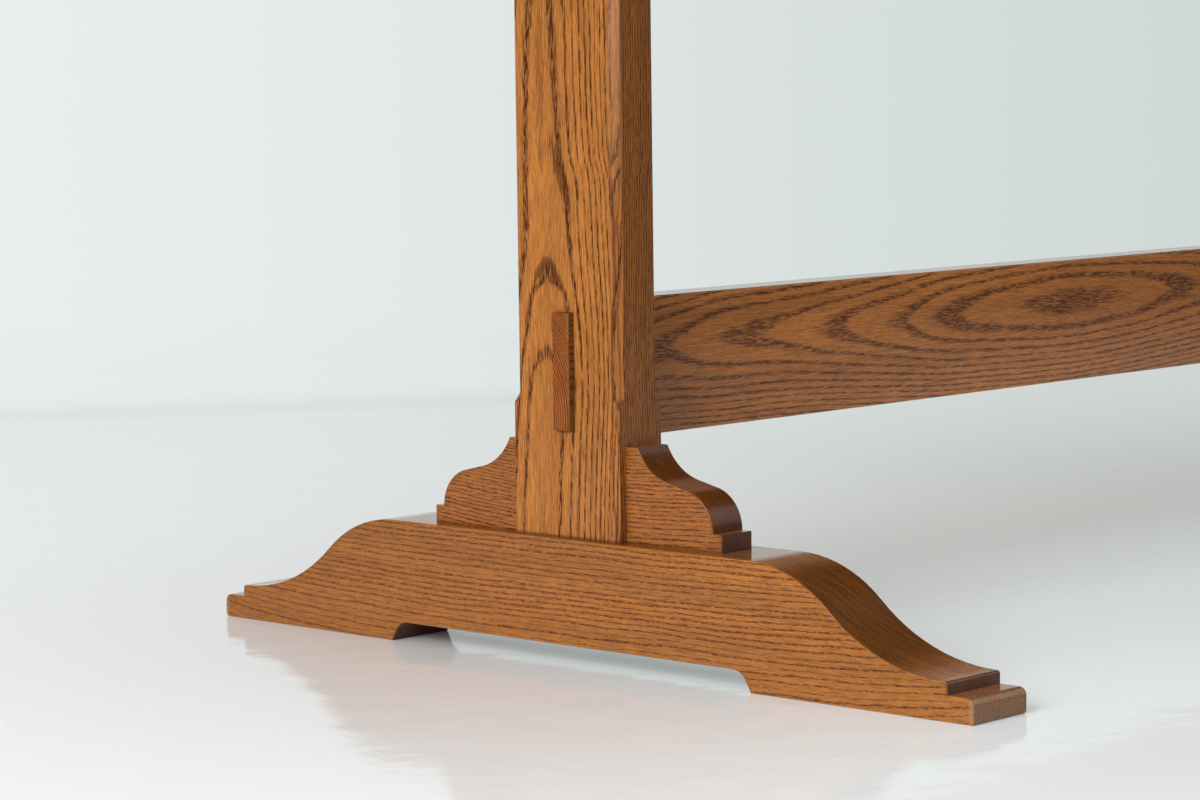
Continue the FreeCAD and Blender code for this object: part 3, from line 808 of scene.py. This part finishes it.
for end, pith_x in BRACKET_PITH.items():
    for side, (sign, bracket_swell) in BRACKET_SIDES.items():
        pith_step = (pith_x, -PITH_INWARD * sign, -PITH_BELOW - PITH_TILT * sign)
        bracket_curves = {"Swell": bracket_swell, "Drift": FOOT_DRIFT}
        oak(f"{end}_{side}_bracket", ALONG_Y, ALONG_Z, pith_step, BRACKET_RING, bracket_curves, BRACKET_STAIN,
            jag=0.5, band=0.28, pore_length=SHORT_PORE, spring_wood=DEEP_RED)
print("four brackets, rings", BRACKET_RING, "mm wide")

# %% [markdown]
# ## Boards of the top
# Six boards are laid side by side, so that no two neighbours look alike: each has its own pith and its own
# curves, worked out from its number. A point of a curve has a place, a height, and what the lean of a board
# adds to the height. A table top is wiped often, so its lacquer shines less.

# %% Oak of the top
BOARD_COUNT = 6
BOARD_RING = 3.0
TOP_GLOSS = 0.45
LEAN_STEP = 2.4
ASIDE_STEP = 1.9
PITH_ALONG = 260.0
PITH_ASIDE = 24.0
PITH_DEPTH = 62.0
PITH_DEEPER = 8.0
BOARD_TONE = 0.94
TONE_LEAN = 0.06
BOARD_SWELL = (
    (-1300.0, 3.0, 1.0), (-700.0, 1.6, 0.0), (-320.0, 1.1, -0.4), (0.0, 0.0, 0.0), (420.0, 1.3, 0.5),
    (1300.0, 3.4, 0.0),
)
BOARD_DRIFT = ((-1300.0, 0.0, 14.0), (-200.0, -9.0, 0.0), (500.0, 8.0, 0.0), (1300.0, 0.0, -12.0))


def leaning(points, lean):
    """Gives the points of a curve for a board with this lean."""
    return [(place, height + share * lean) for place, height, share in points]


for number in range(1, BOARD_COUNT + 1):
    lean = math.sin(LEAN_STEP * number)
    pith_aside = PITH_ASIDE * math.cos(ASIDE_STEP * number)
    pith_step = (PITH_ALONG * lean, pith_aside, -PITH_DEPTH - PITH_DEEPER * number)
    board_curves = {"Swell": leaning(BOARD_SWELL, lean), "Drift": leaning(BOARD_DRIFT, lean)}
    board_stain = (BOARD_TONE + TONE_LEAN * lean,) * 3
    oak(f"top_board_{number}", ALONG_X, ALONG_Z, pith_step, BOARD_RING, board_curves, board_stain,
        gloss=TOP_GLOSS)
print(BOARD_COUNT, "boards, no two alike")

# %% [markdown]
# ## Marks of making and use, and painted light and shade
# Stain never lies evenly, and it is rubbed off at edges. Shade in joints, in the hollow under the foot and on
# some faces is painted on as darker colour, the pale top of the near chamfer is a painted sheen, and the pale
# eased edges are partly a painted highlight. These marks could be painted on by hand in Texture Paint, but
# then the pieces would need images. Instead each mark is a small group that turns a place and the way the
# surface faces into a mask, and the mask lays one more colour over the stain of a piece.

# %% Lay a mark over the stain
def start_mark(name, inputs=None):
    """Starts the group of a mark, and gives its tree, its entry and the socket of its mask."""
    sockets = {"Place": "Vector", "Facing": "Vector", **(inputs or {})}
    tree, entry, leave = start_group(name, sockets, {"Mask": "Float"})
    return tree, entry, leave["Mask"]


def stain_over(node, mark, colour, **values):
    """Lays one more colour over the stain of a piece, where the mask of a mark says so."""
    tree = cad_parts[node].material_slots[0].material.node_tree
    point = add(tree, "TexCoord").outputs
    known = {"Place": point["Object"], "Facing": point["Normal"]}
    for word, value in values.items():
        known[socket_name(word)] = value
    mask = place_group(tree, mark, known)["Mask"]
    base = tree.nodes["Principled BSDF"].inputs["Base Color"]
    fill(tree, base, mix_colour(tree, mask, base.links[0].from_socket, colour))


print("helpers: start_mark, stain_over")

# %% [markdown]
# The narrow sides of a post face away from the lamp, and they are painted a shade darker: painted shade,
# the same on both sides.

# %% Darker sides of the posts
POSTS = ("left_post", "right_post")
# painted shade: the darker colour of the narrow sides of the posts
SIDE_SHADE = (0.10, 0.022, 0.003, 1.0)
SIDE_TURN = (0.85, 0.97)
SIDE_DEPTH = 0.17

mark, entry, mask = start_mark("shaded_post_side")
turned = work(mark, "ABSOLUTE", parts(mark, entry["Facing"])["Y"])
fill(mark, mask, ramp(mark, turned, SIDE_TURN, (0.0, SIDE_DEPTH)))
for node in POSTS:
    stain_over(node, mark, SIDE_SHADE)
print("darker sides on", POSTS)

# %% [markdown]
# The upper part of the near chamfer is painted paler: a painted sheen, where its lacquer catches the light.
# We find it by the direction of the corner and by the height.

# %% Painted sheen on the near chamfer
NEAR_CORNER = Vector((-1.0, -1.0, 0.0)).normalized()
# painted sheen: the pale colour laid on the upper chamfer
CHAMFER_SHEEN = (0.62, 0.33, 0.19, 1.0)
CORNER_TURN = (0.85, 0.95)
SHEEN_HEIGHT = (0.30, 0.46)
SHEEN_DEPTH = 0.30

mark, entry, mask = start_mark("chamfer_sheen")
to_corner = ramp(mark, along(mark, entry["Facing"], NEAR_CORNER), CORNER_TURN)
height = parts(mark, entry["Place"])["Z"]
upper = ramp(mark, height, SHEEN_HEIGHT, (0.0, SHEEN_DEPTH))
fill(mark, mask, times(mark, to_corner, upper))
stain_over("left_post", mark, CHAMFER_SHEEN)
print("rubbed from", SHEEN_HEIGHT[0], "to", SHEEN_HEIGHT[1], "m")

# %% [markdown]
# Beside that chamfer two dark threads run down the wood. Each is a thin line at a distance from the corner,
# bent by a noise, and it fades higher up.

# %% Dark threads of the near post
POST_LOW, POST_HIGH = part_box("left_post")
THREAD_STAIN = (0.12, 0.030, 0.014, 1.0)
THREADS = (
    {"inset": 0.0055, "half": 0.0012, "strength": 0.65, "phase": 0.0},
    {"inset": 0.0019, "half": 0.0007, "strength": 0.55, "phase": 0.3},
)
THREAD_EDGE = (0.4, 1.3)
THREAD_HEIGHT = (0.34, 0.38)
THREAD_FADE = (1.0, 0.35)
THREAD_DEPTH = (0.0085, 0.0135)
THREAD_BEND = 0.009
BEND_SCALE = 16.0

mark, entry, mask = start_mark("dark_threads")
spot = parts(mark, entry["Place"])
total = 0.0
for thread in THREADS:
    shifted = vector_work(mark, "ADD", entry["Place"], (thread["phase"],) * 3)
    wave = work(mark, "SUBTRACT", even_noise(mark, shifted, BEND_SCALE, FINE), HALF)
    middle = work(mark, "MULTIPLY_ADD", wave, THREAD_BEND, POST_LOW.y + thread["inset"])
    away = work(mark, "ABSOLUTE", work(mark, "SUBTRACT", spot["Y"], middle))
    edge = [part * thread["half"] for part in THREAD_EDGE]
    total = work(mark, "MAXIMUM", total, ramp(mark, away, edge, (thread["strength"], 0.0)))
low = times(mark, total, ramp(mark, spot["Z"], THREAD_HEIGHT, THREAD_FADE))
depth = [POST_LOW.x + step for step in THREAD_DEPTH]
fill(mark, mask, times(mark, low, ramp(mark, spot["X"], depth, FALL)))
stain_over("left_post", mark, THREAD_STAIN)
print(len(THREADS), "threads beside the near chamfer")

# %% [markdown]
# At the top of an arch the saw runs almost along a ring, and the spring band spreads into a frayed blot. A
# blot follows a short line, straight or bent, and long streaks fray its edge.

# %% Blots in the arches
BLOTS = (
    {"middle": (0.0, 0.0165, 0.2825), "lean": 0.0, "bend": 73.0, "half_width": 0.017, "half_height": 0.0060,
     "strength": 0.66},
    {"middle": (0.0, 0.0040, 0.3480), "lean": 1.99, "bend": 0.0, "half_width": 0.0095, "half_height": 0.011,
     "strength": 0.74},
    {"middle": (0.0, 0.0215, 0.4100), "lean": 0.0, "bend": 0.0, "half_width": 0.0040, "half_height": 0.060,
     "strength": 0.40},
)
STREAK_SIZE = (0.0008, 0.0008, 0.013)
STREAK_REACH = 5.0
BLOT_EDGE = (0.4, 1.1)

mark, entry, mask = start_mark("frayed_blot", {
    "Middle": "Vector", "Lean": "Float", "Bend": "Float", "Half Width": "Float", "Half Height": "Float",
    "Strength": "Float"})
spot = parts(mark, vector_work(mark, "SUBTRACT", entry["Place"], entry["Middle"]))
bowed = work(mark, "SUBTRACT", entry["Lean"], times(mark, spot["Y"], entry["Bend"]))
off_line = work(mark, "SUBTRACT", spot["Z"], times(mark, spot["Y"], bowed))
tall = squared(mark, work(mark, "DIVIDE", off_line, entry["Half Height"]))
wide = squared(mark, work(mark, "DIVIDE", spot["Y"], entry["Half Width"]))
streak = work(mark, "SUBTRACT", noise(mark, entry["Place"], STREAK_SIZE, COARSE)["Fac"], HALF)
reach = work(mark, "MULTIPLY_ADD", streak, STREAK_REACH, work(mark, "ADD", tall, wide))
blot = ramp(mark, reach, BLOT_EDGE, FALL)
fill(mark, mask, times(mark, blot, entry["Strength"]))
for values in BLOTS:
    stain_over("left_post", mark, POST_SPRING, **values)
print(len(BLOTS), "blots on the near post")

# %% [markdown]
# Round the tenon, on the outer face of each post, the thin gap lies in shadow, and that shadow is painted as
# a dark line. Its place comes from the box of the stretcher, less the shoulder.

# %% Painted shadow in the gap round the tenons
STRETCHER_LOW, STRETCHER_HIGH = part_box("stretcher")
STRETCHER_MIDDLE = (STRETCHER_LOW + STRETCHER_HIGH) / 2
TENON_SHOULDER = 0.008
TENON_HALF_WIDTH = STRETCHER_HIGH.y - STRETCHER_MIDDLE.y - TENON_SHOULDER
TENON_HALF_HEIGHT = STRETCHER_HIGH.z - STRETCHER_MIDDLE.z - TENON_SHOULDER
FACE_STEP = 0.0003
OUTER_FACE = (-POST_LOW.x - FACE_STEP, -POST_LOW.x + FACE_STEP)
# painted shade: the dark colour of the painted shadow in gaps, joints and hollows
PAINTED_SHADE = (0.035, 0.011, 0.004, 1.0)
GAP_WIDTH = (0.0003, 0.0012)
GAP_DEPTH = 0.8

mark, entry, mask = start_mark("mortise_gap_shadow")
spot = parts(mark, entry["Place"])
beside = work(mark, "SUBTRACT", work(mark, "ABSOLUTE", spot["Y"]), TENON_HALF_WIDTH)
above = work(mark, "ABSOLUTE", work(mark, "SUBTRACT", spot["Z"], STRETCHER_MIDDLE.z))
away = work(mark, "MAXIMUM", beside, work(mark, "SUBTRACT", above, TENON_HALF_HEIGHT))
outside = ramp(mark, work(mark, "ABSOLUTE", spot["X"]), OUTER_FACE)
gap = ramp(mark, away, GAP_WIDTH, (GAP_DEPTH, 0.0))
fill(mark, mask, times(mark, outside, gap))
for node in POSTS:
    stain_over(node, mark, PAINTED_SHADE)
print("tenon of", 2 * TENON_HALF_WIDTH, "by", 2 * TENON_HALF_HEIGHT, "m")

# %% [markdown]
# The cheeks of the tenon that stand proud of the post lie in shade, and they are painted dark too: painted
# shade. They belong to the stretcher, so they get a mark of their own, which begins at the same outer face.

# %% Painted shade on the cheeks of the tenons
CHEEK_SHARES = (0.90, 0.97)
CHEEK_EDGE = [share * TENON_HALF_WIDTH for share in CHEEK_SHARES]
CHEEK_DEPTH = 0.72

mark, entry, mask = start_mark("shaded_tenon_cheek")
spot = parts(mark, entry["Place"])
outside = ramp(mark, work(mark, "ABSOLUTE", spot["X"]), OUTER_FACE)
cheek = ramp(mark, work(mark, "ABSOLUTE", spot["Y"]), CHEEK_EDGE, (0.0, CHEEK_DEPTH))
fill(mark, mask, times(mark, outside, cheek))
stain_over("stretcher", mark, PAINTED_SHADE)
print("cheeks dark outside x", OUTER_FACE)

# %% [markdown]
# Where two pieces meet, shade falls into the corner, and it is painted as a thin dark line: painted shade.
# The mark takes an axis and a level, so the same group serves the base of a post, its top and both joints of
# a bracket.

# %% Painted shade lines at the joints
JOINT_WIDTH = (0.0004, 0.0028)
POST_JOINT = 0.62
BRACKET_JOINT = 0.45
FOOT_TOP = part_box("left_foot")[1].z
BEARER_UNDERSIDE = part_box("left_bearer")[0].z
BRACKETS = [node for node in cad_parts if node.endswith("_bracket")]

mark, entry, mask = start_mark("joint_shade_line", {"Axis": "Vector", "Level": "Float", "Strength": "Float"})
away = work(mark, "SUBTRACT", along(mark, entry["Place"], entry["Axis"]), entry["Level"])
joint = ramp(mark, work(mark, "ABSOLUTE", away), JOINT_WIDTH, FALL)
fill(mark, mask, times(mark, joint, entry["Strength"]))
for node in POSTS:
    for level in (FOOT_TOP, BEARER_UNDERSIDE):
        stain_over(node, mark, PAINTED_SHADE, axis=ALONG_Z, level=level, strength=POST_JOINT)
for node in BRACKETS:
    post_side = POST_LOW.y if "front" in node else POST_HIGH.y
    stain_over(node, mark, PAINTED_SHADE, axis=ALONG_Z, level=FOOT_TOP, strength=BRACKET_JOINT)
    stain_over(node, mark, PAINTED_SHADE, axis=ALONG_Y, level=post_side, strength=BRACKET_JOINT)
print("joint lines on", len(POSTS), "posts and", len(BRACKETS), "brackets")

# %% [markdown]
# The hollow under a foot lies in deep shade, and it is painted almost black: painted shade. Its reach and
# height are those of the hollow, and the two broad faces of the foot are left out by the way they face.

# %% Hollow under the feet
FEET = ("left_foot", "right_foot")
RELIEF_REACH = (0.176, 0.178)
RELIEF_HEIGHT = (0.0148, 0.0152)
BROAD_FACE = (0.3, 0.6)
RELIEF_DEPTH = 0.85

mark, entry, mask = start_mark("shaded_foot_relief")
spot = parts(mark, entry["Place"])
turned = work(mark, "ABSOLUTE", parts(mark, entry["Facing"])["X"])
inner = ramp(mark, work(mark, "ABSOLUTE", spot["Y"]), RELIEF_REACH, FALL)
low = ramp(mark, spot["Z"], RELIEF_HEIGHT, FALL)
narrow = ramp(mark, turned, BROAD_FACE, (RELIEF_DEPTH, 0.0))
fill(mark, mask, times(mark, inner, low, narrow))
for node in FEET:
    stain_over(node, mark, PAINTED_SHADE)
print("hollow darkened to", RELIEF_HEIGHT[0], "m")

# %% [markdown]
# A foot is painted darker toward its back end, as painted shade, and the end faces of its toes are paler,
# with a fine weave.

# %% Back end and toes of the feet
FOOT_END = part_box("left_foot")[1].y
# painted shade: the darker colour toward the back end of a foot
BACK_END_SHADE = (0.17, 0.055, 0.012, 1.0)
BACK_END_SHADE_REACH = (-0.3, FOOT_END)
BACK_END_SHADE_DEPTH = 0.3
TOE_PALE = (0.36, 0.185, 0.095, 1.0)
TOE_DEPTHS = (0.005, 0.002)
TOE_REACH = [FOOT_END - depth for depth in TOE_DEPTHS]
WEAVE_SCALE = 600.0
WEAVE_SPAN = (0.3, 0.7)
WEAVE_DEPTH = (0.45, 0.95)

mark, entry, mask = start_mark("shaded_back_end")
back = parts(mark, entry["Place"])["Y"]
fill(mark, mask, ramp(mark, back, BACK_END_SHADE_REACH, (0.0, BACK_END_SHADE_DEPTH)))
for node in FEET:
    stain_over(node, mark, BACK_END_SHADE)

mark, entry, mask = start_mark("rubbed_toe")
out = ramp(mark, work(mark, "ABSOLUTE", parts(mark, entry["Place"])["Y"]), TOE_REACH)
weave = even_noise(mark, entry["Place"], WEAVE_SCALE, COARSE)
weave = ramp(mark, weave, WEAVE_SPAN, WEAVE_DEPTH)
fill(mark, mask, times(mark, out, weave))
for node in FEET:
    stain_over(node, mark, TOE_PALE)
print("toes from y", TOE_REACH[0], "to", FOOT_END, "m")

# %% [markdown]
# Last, the eased edges. Hands, feet and cloths rub the stain thin there, in patches, and the pale colour is
# also a painted highlight, where the rounded edges catch the light. On an eased edge the surface faces
# neither along the broad side of a piece nor at right angles to it, so the angle to that side gives the mask.

# %% Worn edges and painted highlight
# worn and painted highlight: the pale colour of the eased edges
WORN_AND_HIGHLIGHT = (0.50, 0.225, 0.080, 1.0)
EASED_START = (0.12, 0.35)
EASED_END = (0.85, 0.97)
PATCH_SCALE = 45.0
PATCH_SPAN = (0.36, 0.60)
PATCH_STRENGTH = (0.25, 1.0)
TRESTLE_WEAR_AND_HIGHLIGHT = 0.34
OTHER_WEAR_AND_HIGHLIGHT = 0.25

mark, entry, mask = start_mark("worn_edge_highlight", {"Broad Side": "Vector", "Wear": "Float"})
turned = work(mark, "ABSOLUTE", along(mark, entry["Facing"], entry["Broad Side"]))
begun = ramp(mark, turned, EASED_START)
ended = ramp(mark, turned, EASED_END, FALL)
patches = even_noise(mark, entry["Place"], PATCH_SCALE, FINE)
patches = ramp(mark, patches, PATCH_SPAN, PATCH_STRENGTH)
fill(mark, mask, times(mark, begun, ended, patches, entry["Wear"]))
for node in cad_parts:
    if node.startswith("top_board"):
        stain_over(node, mark, WORN_AND_HIGHLIGHT, broad_side=ALONG_Z, wear=OTHER_WEAR_AND_HIGHLIGHT)
    elif node == "stretcher":
        stain_over(node, mark, WORN_AND_HIGHLIGHT, broad_side=ALONG_Y, wear=OTHER_WEAR_AND_HIGHLIGHT)
    elif node.endswith(("foot", "bearer", "bracket")):
        stain_over(node, mark, WORN_AND_HIGHLIGHT, broad_side=ALONG_X, wear=TRESTLE_WEAR_AND_HIGHLIGHT)
print("worn edges on the trestles, the stretcher and the top")

# %% [markdown]
# ## Pieces inside the joints
# Tongues, dowels, screws and washers sit inside the joints and can't be seen in the closed table. A part
# that is taken apart still shows them, so each gets its own plain finish: oak and beech without stain or
# lacquer, and zinc-bright steel with fine turning marks.

# %% Finishes of the hidden pieces
BARE_OAK = (0.52, 0.36, 0.19, 1.0)
BARE_OAK_DARK = (0.36, 0.22, 0.10, 1.0)
BARE_BEECH = (0.62, 0.42, 0.26, 1.0)
BARE_BEECH_DARK = (0.50, 0.31, 0.18, 1.0)
STEEL = (0.60, 0.60, 0.58, 1.0)
STEEL_DARK = (0.42, 0.42, 0.41, 1.0)
PLAIN_SPAN = (0.35, 0.65)
TONGUE_GRAIN = (0.03, 0.001, 0.001)
DOWEL_GRAIN = (0.001, 0.001, 0.006)
TURNING_MARKS = (0.02, 0.02, 0.0006)
BARE_ROUGHNESS = 0.6
STEEL_ROUGHNESS = 0.32


def plain_finish(name, light, dark, grain_size, roughness, metallic=0.0):
    """Makes a simple finish: two tones mixed by a noise that is stretched along one axis."""
    material, tree, shader = new_finish(name)
    grain = noise(tree, add(tree, "TexCoord").outputs["Object"], grain_size, FINE)["Fac"]
    fill(tree, shader.inputs["Base Color"], mix_colour(tree, ramp(tree, grain, PLAIN_SPAN), light, dark))
    shader.inputs["Roughness"].default_value = roughness
    shader.inputs["Metallic"].default_value = metallic
    return material


bare_oak = plain_finish("bare_oak", BARE_OAK, BARE_OAK_DARK, TONGUE_GRAIN, BARE_ROUGHNESS)
bare_beech = plain_finish("bare_beech", BARE_BEECH, BARE_BEECH_DARK, DOWEL_GRAIN, BARE_ROUGHNESS)
bright_steel = plain_finish("bright_steel", STEEL, STEEL_DARK, TURNING_MARKS, STEEL_ROUGHNESS, 1.0)
hidden = {"tongue": bare_oak, "dowels": bare_beech, "screws": bright_steel, "washers": bright_steel}
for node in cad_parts:
    for word, material in hidden.items():
        if word in node:
            dress(node, material)
print("hidden pieces finished:", list(hidden))
